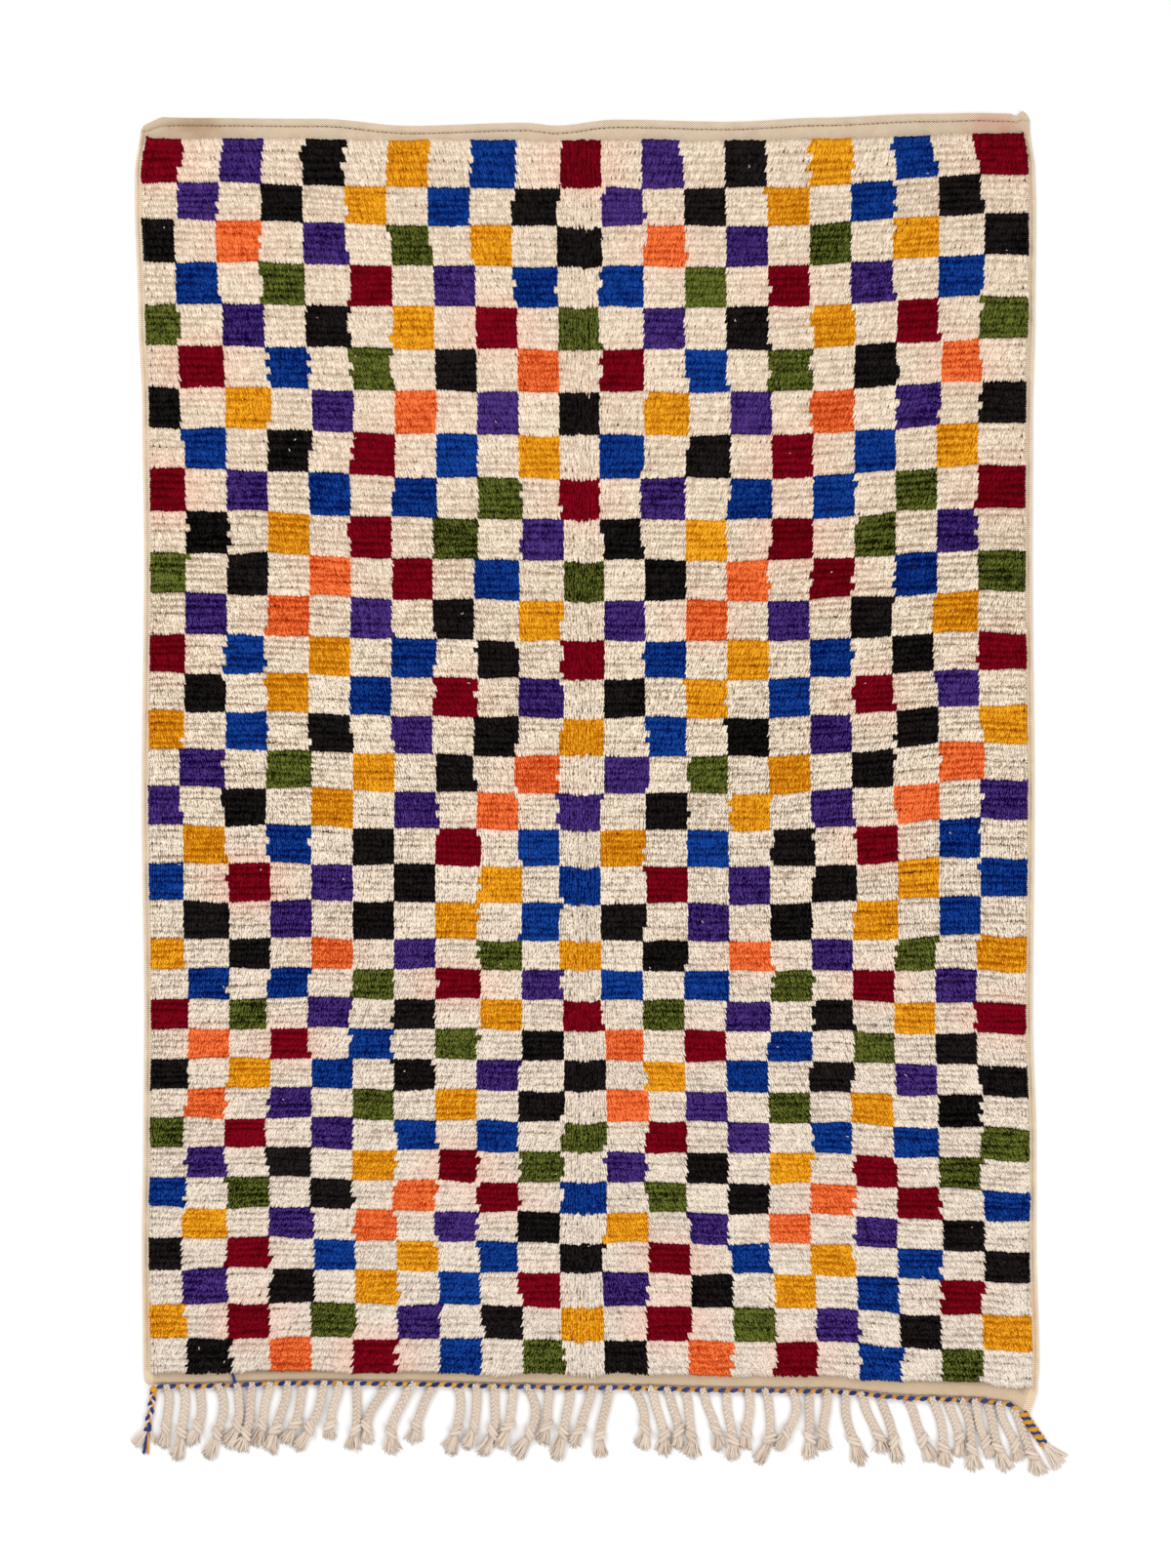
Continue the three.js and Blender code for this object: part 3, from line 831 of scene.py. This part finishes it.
def hem_height(away):
    """The folded hem, and the groove where it is sewn down."""
    fold = np.clip(1 - ((away - HEM_WIDTH / 2) / (HEM_WIDTH / 2 + 0.4)) ** 2, 0, 1) ** 0.5
    hem = EDGE_HEIGHT + (HEM_HEIGHT - EDGE_HEIGHT) * fold
    groove = 0.9 * np.exp(-(((away - HEM_WIDTH - 0.4) / 0.9) ** 2))
    return np.where(away < HEM_WIDTH, np.maximum(hem, EDGE_HEIGHT), GROUND_HEIGHT) - groove


def fringe_height(away):
    return EDGE_HEIGHT + (GROUND_HEIGHT - EDGE_HEIGHT) * smooth_step(0, 2.5, away)


def ground_places():
    """The x and y of the ground's corners, and how far each is from the hem, the foot and the nearer side.
    It takes a few rounds, because each edge depends on where the others are."""
    inner_x = np.linspace(0, 1, LINES_ACROSS + 2)[1:-1]
    inner_y = np.linspace(0, 1, LINES_ALONG + 2)[1:-1]
    columns = 2 * len(SIDE_LINES) + LINES_ACROSS
    rows = len(HEM_LINES) + LINES_ALONG + len(FOOT_LINES)
    x = np.broadcast_to(np.linspace(-WIDTH / 2, WIDTH / 2, columns), (rows, columns))
    for _ in range(3):
        upper = hem_edge(x)[0] - HEM_LINES[:, None]
        lower = fringe_edge(x)[-1] + FOOT_LINES[::-1, None]
        middle = upper[-1] + inner_y[:, None] * (lower[0] - upper[-1])
        y = np.concatenate([upper, middle, lower])
        near_left = left_edge(y)[:, :1] + SIDE_LINES
        near_right = right_edge(y)[:, -1:] - SIDE_LINES[::-1]
        between_sides = near_left[:, -1:] + inner_x * (near_right[:, :1] - near_left[:, -1:])
        x = np.concatenate([near_left, between_sides, near_right], axis=1)
    from_hem = hem_edge(x) - y
    from_foot = y - fringe_edge(x)
    from_side = np.minimum(x - left_edge(y), right_edge(y) - x)
    return x, y, from_hem, from_foot, from_side


def round_corners(x, y, from_end, from_side, radius, inwards):
    """Moves the two corners of one end in to a round outline. Inwards is the way to the middle."""
    across = np.clip(radius - from_side, 0, None) / radius
    along = np.clip(radius - from_end, 0, None) / radius
    moved_x = x - np.sign(x) * radius * across * (1 - np.sqrt(1 - along**2 / 2))
    moved_y = y + inwards * radius * along * (1 - np.sqrt(1 - across**2 / 2))
    return moved_x, moved_y


def make_ground():
    """The woven ground as a closed, thin slab, with its hem and side edges standing up."""
    x, y, from_hem, from_foot, from_side = ground_places()
    rows, columns = x.shape
    heights = [selvage_height(from_side), hem_height(from_hem), fringe_height(from_foot)]
    lifts = np.stack(heights) - GROUND_HEIGHT
    drop = np.clip(np.minimum(lifts, 0).sum(0), EDGE_HEIGHT - GROUND_HEIGHT, 0)
    z = GROUND_HEIGHT + drop + np.maximum(lifts, 0).max(0)
    knotted = smooth_step(PILE_BORDER + 1, PILE_BORDER + 3.5, from_side)
    knotted = knotted * smooth_step(4, 8, row_line(x, np.zeros(1)) - y)
    knotted = knotted * smooth_step(1.5, 5, y - row_line(x, np.ones(1)))
    z = z + (KNOT_HEIGHT - GROUND_HEIGHT) * knotted
    peak = sum(height * np.exp(-(((x - place) / wide) ** 2)) for place, height, wide in HEM_PEAKS)
    peak = peak * (1 - smooth_step(0, 20, from_hem))
    x, y = round_corners(x, y + peak, from_hem, from_side, HEM_CORNER, -1)
    x, y = round_corners(x, y, from_foot, from_side, FRINGE_CORNER, 1)
    top = np.stack([x, y, z], -1).reshape(-1, 3)
    below = top * UNDERSIDE_SHARES
    points = np.concatenate([top, below])
    upper = grid_faces(rows, columns)
    under = upper[:, ::-1] + len(top)
    corner = np.arange(rows * columns).reshape(rows, columns)
    rim = np.concatenate([corner[0, :-1], corner[:-1, -1], corner[-1, :0:-1], corner[:0:-1, 0]])
    after = np.roll(rim, -1)
    edge = np.stack([rim, after, after + len(top), rim + len(top)], -1)
    mesh = new_mesh("woven_ground", points, np.concatenate([upper, under, edge]), np.zeros((0, 3), int))
    for name, values in (("from_hem", from_hem), ("from_side", from_side), ("knotted", knotted)):
        add_values(mesh, name, np.tile(values.ravel(), 2))
    return new_piece("woven_ground", mesh, ground_material(), "rug_body")


def ground_material():
    """Beige flat weave: slanting weft at the ends, fine cross ribs on the side edges, and two stains.
    Painted shade darkens the sewn groove and, with the ground's own brown, the ground under the pile;
    painted light lifts the warmer band at the foot.
    """
    nodes = Nodes("flat_weave")
    x = nodes.axis("X")
    y = nodes.axis("Y")
    warp, weft, rib = (
        nodes.times(place, 2 * np.pi / (pitch * MM))
        for place, pitch in ((x, WARP_PITCH), (y, WEFT_PITCH), (y, RIB_PITCH))
    )
    slant = nodes.calculate("SINE", nodes.calculate("ADD", warp, weft))
    across = nodes.calculate("SINE", nodes.scaled(weft, 2.0, nodes.times(warp, -0.5)))
    twill = nodes.scaled(slant, 0.4, nodes.scaled(across, 0.1, 0.5))
    ribs = nodes.scaled(nodes.calculate("SINE", rib), 0.17, 0.55)
    from_hem = nodes.attribute("from_hem")
    at_side = nodes.calculate("LESS_THAN", nodes.attribute("from_side"), float(SELVAGE_WIDTH))
    at_side = nodes.times(at_side, nodes.calculate("GREATER_THAN", from_hem, 24.0))
    weave = nodes.scaled(nodes.calculate("SUBTRACT", ribs, twill), at_side, twill)
    tone = nodes.scaled(nodes.noise(70, 3), 0.3, nodes.scaled(weave, 1.0, -0.1))
    colour = nodes.mix(tone, *map(linear, WEAVE))
    # Painted shade along the groove where the hem is sewn down.
    groove = nodes.calculate("ABSOLUTE", nodes.calculate("SUBTRACT", from_hem, HEM_WIDTH + 0.3))
    sewn = nodes.calculate("LESS_THAN", groove, 0.8)
    colour = nodes.mix(nodes.times(sewn, 0.2), colour, linear(GROOVE_SHADE))
    for point, reach, stain in STAINS:
        spread = nodes.times(nodes.near(point, reach), nodes.noise(45, 4))
        colour = nodes.mix(nodes.times(spread, 0.8), colour, linear(stain))
    # The band at the foot is warmer, and lifted by painted light where the pile's shadow falls on it.
    at_foot = nodes.calculate("LESS_THAN", y, -0.6)
    colour = nodes.mix(nodes.times(at_foot, 0.3), colour, linear(FOOT_TINT_AND_LIGHT))
    # Under the pile the ground is dark brown: partly its own colour, partly painted shade between the knots.
    colour = nodes.mix(nodes.attribute("knotted"), colour, linear(KNOT_GROUND_AND_SHADE))
    nodes.colour(colour)
    nodes.bump(weave, 0.8, 1.0)
    return nodes.material


def thread_material():
    """Sewing thread, each stitch with its own shade."""
    nodes = Nodes("sewing_thread")
    nodes.colour(nodes.mix(nodes.attribute("shade"), *map(linear, THREAD)))
    return nodes.material


def hem_stitches():
    """Sewing thread that shows in short, uneven stitches along the hem."""
    rng = np.random.default_rng(5)
    even = np.arange(-470, 478, 5.2)
    count = len(even)
    x = even + rng.normal(0, 0.5, count)
    long = rng.uniform(1.6, 3.2, count)
    y = hem_edge(x) - HEM_WIDTH - 0.3 + rng.normal(0, 0.25, count)
    share = np.array([-0.5, -0.4, 0, 0.4, 0.5])
    x = x[:, None] + long[:, None] * share
    y = y[:, None] + rng.normal(0, 0.4, (count, 1)) * share
    height = np.array([3.2, 3.9, 4.3, 3.9, 3.2])
    return tubes(raised(np.stack([x, y], -1), height), 0.4, 4, rng.uniform(0, 1, count))


def plait_routes():
    """Start, control and end point of each plait's route on the floor."""
    roots = np.concatenate([np.linspace(*ends, count) for count, ends, _, _ in PLAIT_GROUPS])
    tips = np.concatenate([np.linspace(*ends, count) for count, _, ends, _ in PLAIT_GROUPS])
    bows = np.concatenate([np.full(count, bow) for count, _, _, bow in PLAIT_GROUPS])
    index = np.arange(PLAITS)
    reach = PLAIT_REACH + PLAIT_STAGGER * np.where(index % 2, 1, -1) + REACH_WANDER * unevenness(index, 3)
    root_y = fringe_edge(roots) - CORD_GAP
    first = np.stack([roots, root_y], -1)
    control = np.stack([(roots + tips) / 2 + PLAIT_BEND * bows, root_y - reach / 2], -1)
    last = np.stack([tips, root_y - reach], -1)
    return first, control, last


def along_routes(routes, share):
    """Points, directions and sideways directions on the routes, at shares of their length."""
    first, control, last = (end[:, None, :] for end in routes)
    t = share[..., None]
    points = first * (1 - t) ** 2 + 2 * control * t * (1 - t) + last * t**2
    along = unit((control - first) * (1 - t) + (last - control) * t)
    sideways = turned(along)
    start = unevenness(np.arange(PLAITS), 7)[:, None, None]
    sway = PLAIT_SWAY * np.sin(2 * np.pi * (0.9 * t + start)) * smooth_step(0, 0.3, t)
    return points + sway * sideways, along, sideways


def knot_places():
    """How far along its route each plait's knot is."""
    return KNOT_AT + 0.04 * unevenness(np.arange(PLAITS), 9)[:, None]


def braid(points, sideways, share, height, width, turns, phase, strand):
    """One of three strands that pass over and under each other."""
    angle = 2 * np.pi * (share * turns + strand / 3) + phase
    aside = sideways * (width * np.sin(angle))[..., None]
    return raised(points + aside, height + 0.42 * width * np.sin(2 * angle))


def make_plaits(routes):
    """The three strands of each plait, from the edge of the weave to its knot. Most plaits start over the
    cord, and the others under it."""
    rng = np.random.default_rng(3)
    share = PLAIT_START + np.linspace(0, 1, 48) * (knot_places() + 0.022)
    points, _, sideways = along_routes(routes, share)
    over = rng.uniform(0, 1, (PLAITS, 1)) < PLAITS_OVER_CORD
    full = smooth_step(-0.02, 0.12, share)
    radius = STRAND_RADIUS + STRAND_SWELL * full
    height = np.where(over, 3.4 + 4.3 * np.exp(-((share / 0.055) ** 2)), 1.3 + 2.1 * full)
    width = 2.4 + 1.0 * full
    turns = PLAIT_REACH / PLAIT_TURN
    phase = rng.uniform(0, 6, (PLAITS, 1))
    tone = rng.uniform(-0.12, 0.12, PLAITS)
    parts = []
    for strand in range(3):
        path = braid(points, sideways, share, height, width, turns, phase, strand)
        path[..., 2] = np.maximum(path[..., 2], radius + 0.1)
        parts.append(tubes(path, radius, 6, 0.5 + tone + rng.uniform(-0.15, 0.15, PLAITS)))
    return joined(parts)


def make_knots(routes):
    """The knot at the end of each plait: two turns of the plait round a full core."""
    rng = np.random.default_rng(4)
    points, along, sideways = along_routes(routes, knot_places())
    centre = raised(points, KNOT_LEVEL)
    along = raised(along, 0.0)
    sideways = raised(sideways, 0.0)
    upwards = np.array([0, 0, 1])
    hand = rng.choice([-1.0, 1.0], (PLAITS, 1))
    size = rng.uniform(0.88, 1.12, (PLAITS, 1, 1))
    parts = []
    for turn, step in enumerate((-KNOT_HALF_STEP, KNOT_HALF_STEP)):
        angle = np.linspace(-0.3, 2 * np.pi + 0.3, 22) + np.pi * turn + rng.uniform(0, 1, (PLAITS, 1))
        tilt = rng.uniform(2.2, 4.4, (PLAITS, 1))
        slant = hand * tilt * np.cos(angle) + step
        aside = size * sideways * (KNOT_HALF_WIDTH * np.cos(angle))[..., None]
        path = centre + along * slant[..., None] + aside
        path = path + upwards * (KNOT_HALF_RISE * np.sin(angle))[..., None]
        parts.append(tubes(path, KNOT_STRAND, 6, rng.uniform(0.35, 0.75, PLAITS), facing=along))
    share = np.linspace(-1, 1, 9)
    core = centre + along * (KNOT_CORE_HALF_LENGTH * share)[None, :, None] - 0.6 * upwards
    radius = KNOT_CORE * round_profile(share)
    parts.append(tubes(core, radius, 8, rng.uniform(0.2, 0.5, PLAITS), squash=0.85))
    return joined(parts)


def round_profile(share):
    """The radius of a ball of radius 1, with blunt ends, from -1 to 1 along it."""
    return np.sqrt(np.clip(1 - share**2, 0.02, 1))


def make_tufts(routes):
    """The loose ends below each knot, spread like a small brush."""
    rng = np.random.default_rng(6)
    flare = rng.uniform(0.7, 1.3, (PLAITS, 1))
    length = 1.04 + rng.normal(0, 0.035, (PLAITS, 1))
    parts = []
    share = np.linspace(0, 1, len(TUFT_RADII))[None, :]
    start = knot_places() + 0.04
    for number in range(TUFT_ENDS):
        spread = number / (TUFT_ENDS - 1) * 2 - 1 + rng.normal(0, 0.12, (PLAITS, 1))
        spread = spread * np.where(number % 2, 0.75, 1)
        level = rng.uniform(0, 1, (PLAITS, 1))
        finish = length + rng.normal(0, 0.022, (PLAITS, 1)) - 0.05 * spread**2
        points, _, sideways = along_routes(routes, start + (finish - start) * share)
        wave = 0.5 * np.sin(5 * share + rng.uniform(0, 6, (PLAITS, 1)))
        aside = spread * (3.0 + 7.0 * flare * share**1.1) + wave
        height = 1.1 + (1.4 + 4.2 * level) * (1 - share) ** 0.8 + 2.4 * level * share
        path = raised(points + sideways * aside[..., None], height)
        parts.append(tubes(path, TUFT_RADII, 4, rng.uniform(0.05, 0.95, PLAITS)))
    return joined(parts)


def cord_strand(phase, thick):
    """One strand of the cord, twined round the other, fuller where it lies on top."""
    turns = 2 * CORD_END / CORD_TURN
    x = np.linspace(-CORD_END, CORD_END, int(turns * 12))
    angle = 2 * np.pi * x / CORD_TURN + phase + 0.6 * np.sin(x / 47) + 0.3 * np.sin(x / 11)
    y = fringe_edge(x) - CORD_GAP - 0.7 * np.cos(angle)
    path = raised(np.stack([x, y], -1), CORD_LEVEL + 1.5 * np.sin(angle))
    radius = thick * (1 + 0.5 * np.sin(angle))
    shade = 0.5 + 0.35 * np.sin(x / 23 + 2 * np.sin(x / 61) + phase)
    return tubes(path[None], radius, 6, shade[None])


def curve_through(points, count):
    """A smooth path through a few points."""
    points = np.asarray(points, float)
    place = np.linspace(0, len(points) - 1, count)
    index = np.clip(place.astype(int), 0, len(points) - 2)
    t = (place - index)[:, None]
    padded = np.concatenate([[2 * points[0] - points[1]], points, [2 * points[-1] - points[-2]]])
    before, here, there, beyond = (padded[index + step] for step in range(4))
    bend = 2 * here + (there - before) * t
    bend += (2 * before - 5 * here + 4 * there - beyond) * t**2
    bend += (3 * here - before - 3 * there + beyond) * t**3
    return bend / 2


def sideways_of(path):
    return turned(unit(np.gradient(path, axis=0)))


def tail_strand(strand, thick_first, thick_last):
    """One strand of the plaited left tail."""
    centre = curve_through(LEFT_TAIL, 40)
    share = np.linspace(0, 1, 40)[None, :]
    path = braid(centre[None], sideways_of(centre)[None], share, TAIL_LEVEL, 2.4, 4.0, 0.4, strand)
    radius = thick_first + (thick_last - thick_first) * smooth_step(0.1, 0.4, share)
    return tubes(path, radius, 6, 0.5)


def loose_end(points, radius, shade=0.5):
    """A loose yarn through a few points, given with their heights."""
    return tubes(curve_through(points, 14)[None], radius, 6, shade)


def bead(centre, size):
    """A round turn of yarn where a tail is tied."""
    share = np.linspace(-1, 1, 9)
    path = np.array(centre) + np.array([0.2, -1.0, 0]) * (size * share)[:, None]
    return tubes(path[None], size * round_profile(share), 8, 0.6)


def left_tail_parts():
    """The plaited left tail, tied with beads at both ends, and its loose ends."""
    foot_bead = bead((-493.8, -763, 3.8), 3.6)
    head_bead = bead((-487.2, -718.5, 4.3), 4.1)
    wide = brush((-495, -764), (-509, -781), 5.5, 14, 21)
    narrow = brush((-492, -764), (-487, -779), 3.0, 6, 22)
    return {
        "navy": [tail_strand(0, 1.7, 2.2), loose_end(LEFT_NAVY, 1.9), foot_bead],
        "mustard": [tail_strand(1, 2.2, 1.3), loose_end(LEFT_MUSTARD, 1.5), head_bead],
        "fringe_cream": [tail_strand(2, 1.2, 1.8), *wide, *narrow],
    }


def brush(start, end, spread, count, seed):
    """A few loose ends that fan out between two points."""
    rng = np.random.default_rng(seed)
    start = np.array(start, float)
    end = np.array(end, float)
    along = unit(end - start)
    across = turned(along)
    made = []
    for _ in range(count):
        aside = rng.uniform(-1, 1)
        tip = end + across * aside * spread + along * rng.normal(0, 1.2)
        half = (start + tip) / 2 + across * aside * spread * 0.35
        points = [(*(start + across * aside), 3.5), (*half, rng.uniform(2, 4)), (*tip, rng.uniform(1, 2.5))]
        made.append(loose_end(points, 0.95, rng.uniform(0.2, 0.9)))
    return made


def wrap(phase, thick):
    """One of two yarns wound round the right tail."""
    centre = curve_through(RIGHT_TAIL, 70)
    angle = phase - np.linspace(0, 2 * np.pi * WRAP_TURNS, 70)
    aside = sideways_of(centre) * (3.5 * np.cos(angle))[:, None]
    path = raised(centre + aside, WRAP_LEVEL + 2.4 * np.sin(angle))
    along = np.append(unit(centre[-1] - centre[0]), 0)
    return tubes(path[None], thick, 6, 0.5, facing=along)


def right_tail_parts():
    """The wrapped right tail and the fan of its core's ends."""
    core = raised(curve_through(RIGHT_TAIL, 16), 5.0)[None]
    fan = []
    for number, tip in enumerate(RIGHT_FAN):
        fan += brush((511, -778), tip, 2.6, 7, 30 + number)
    return {
        "navy": [wrap(0, 1.6)],
        "mustard": [wrap(np.pi, 2.5)],
        "fringe_cream": [tubes(core, 3.2, 8, 0.4, squash=0.85), *fan],
    }


def make_fringe():
    """The plaits, knots and tufts, then the cord and its two tails."""
    routes = plait_routes()
    materials = {name: strand_material(name) for name in ("fringe_cream", "navy", "mustard")}
    pieces = []
    for name, made in (
        ("fringe_plaits", make_plaits(routes)),
        ("fringe_knots", make_knots(routes)),
        ("fringe_tufts", make_tufts(routes)),
    ):
        pieces.append(yarn_piece(name, made, materials["fringe_cream"], "fringe"))
    for name, made in (
        ("navy", [cord_strand(0, CORD_NAVY), loose_end(LOOSE_NAVY, 1.7)]),
        ("mustard", [cord_strand(np.pi, CORD_MUSTARD)]),
    ):
        pieces.append(yarn_piece(f"cord_{name}", joined(made), materials[name], "twined_cord"))
    for node, parts in (("left_tail", left_tail_parts()), ("right_tail", right_tail_parts())):
        for name, made in parts.items():
            pieces.append(yarn_piece(f"{node}_{name}", joined(made), materials[name], node))
    return pieces


def make_room():
    """A plain pale floor, soft light from above and an even surround."""
    mesh = bpy.data.meshes.new("floor")
    corners = [(-8, -8, -0.0004), (8, -8, -0.0004), (8, 8, -0.0004), (-8, 8, -0.0004)]
    mesh.from_pydata(corners, [], [(0, 1, 2, 3)])
    nodes = Nodes("pale_floor")
    nodes.colour(nodes.mix(nodes.noise(3, 2), *map(linear, FLOOR)))
    mesh.materials.append(nodes.material)
    floor = new_object("floor", mesh)
    world = bpy.data.worlds.new("surround")
    bpy.context.scene.world = world
    world.use_nodes = True
    background = world.node_tree.nodes["Background"].inputs
    background["Color"].default_value = (1, 1, 1, 1)
    background["Strength"].default_value = 0.66
    for name, place, power, size in (
        ("key", (-2.2, 2.4, 3.8), 115, 2.4),
        ("fill", (2.4, -2.4, 3.6), 85, 3.0),
    ):
        lamp = bpy.data.lights.new(name, "AREA")
        lamp.energy = power
        lamp.size = size
        light = new_object(name, lamp)
        light.location = place
        light.rotation_mode = "QUATERNION"
        light.rotation_quaternion = light.location.to_track_quat("Z", "Y")
    bpy.context.scene.view_settings.view_transform = "Standard"


def make_camera():
    """Straight above the rug, far off with a long lens, framed as in the photo."""
    frame_height = 1.7597
    above = 6.0
    data = bpy.data.cameras.new("camera")
    data.sensor_width = 36
    data.lens = 36 * (above - 0.01) / frame_height
    camera = new_object("camera", data)
    camera.location = (-0.0027, -0.0383, above)
    bpy.context.scene.camera = camera


ground = make_ground()
sewing = yarn_piece("hem_stitches", hem_stitches(), thread_material(), "rug_body")
pile = make_pile()
lint = yarn_piece("loose_lint", make_lint(), strand_material("cream"), "rug_body")
fringe = make_fringe()
make_room()
make_camera()
